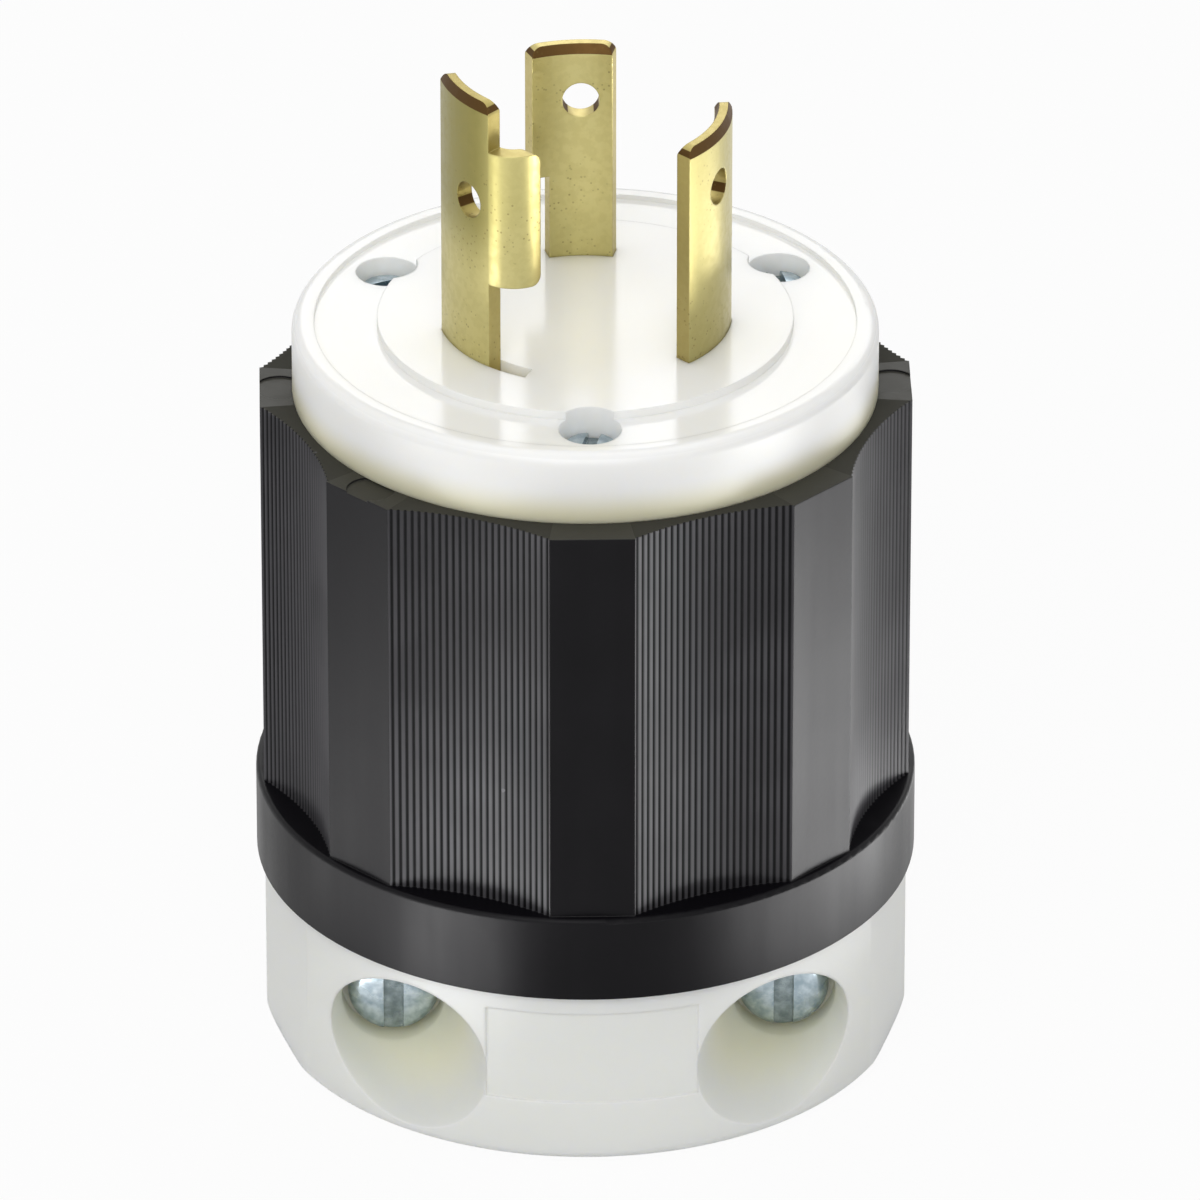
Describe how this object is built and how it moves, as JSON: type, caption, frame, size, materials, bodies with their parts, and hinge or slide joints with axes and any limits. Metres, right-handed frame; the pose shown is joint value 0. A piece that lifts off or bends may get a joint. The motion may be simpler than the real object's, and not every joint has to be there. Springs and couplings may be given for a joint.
{
  "type": "locking power plug",
  "caption": "Straight twist-lock cord plug: curved brass blades on a round white face, ribbed black grip housing with a plain band, and a white base that holds a screw-drawn cord clamp.",
  "frame": {"origin": "centre of the underside, where the cord goes in", "axes": "+Z along the plug towards the blades; the clamp screws are reached from -Y; +X is right of them"},
  "size_m": [0.0536, 0.0536, 0.0863],
  "materials": {
    "black_nylon": "satin moulded nylon",
    "white_nylon": "glossy moulded nylon",
    "natural_nylon": "translucent natural nylon",
    "blade_brass": "drawn sheet brass",
    "zinc_steel": "blue zinc plate",
    "green_steel": "green dyed steel"
  },
  "bodies": {
    "plug": {"housing": "black_nylon", "face_block": "white_nylon", "base": "natural_nylon", "clamp_saddle": "natural_nylon", "wire_cover": "white_nylon", "blade_line": "blade_brass", "blade_neutral": "blade_brass", "blade_ground": "blade_brass", "terminal_plate_line": "blade_brass", "terminal_plate_neutral": "blade_brass", "terminal_plate_ground": "blade_brass", "terminal_screw_line": "blade_brass", "terminal_screw_neutral": "zinc_steel", "terminal_screw_ground": "green_steel", "assembly_screw_front": "zinc_steel", "assembly_screw_left": "zinc_steel", "assembly_screw_right": "zinc_steel", "clamp_screw_left": "zinc_steel", "clamp_screw_right": "zinc_steel"},
    "jaw": {"clamp_jaw": "natural_nylon", "clamp_nut_left": "zinc_steel", "clamp_nut_right": "zinc_steel"}
  },
  "joints": [
    {"name": "clamp_jaw_slide", "type": "slide", "parent": "plug", "child": "jaw", "axis": [0, -1, 0], "range_m": [0, 0.0105]}
  ]
}
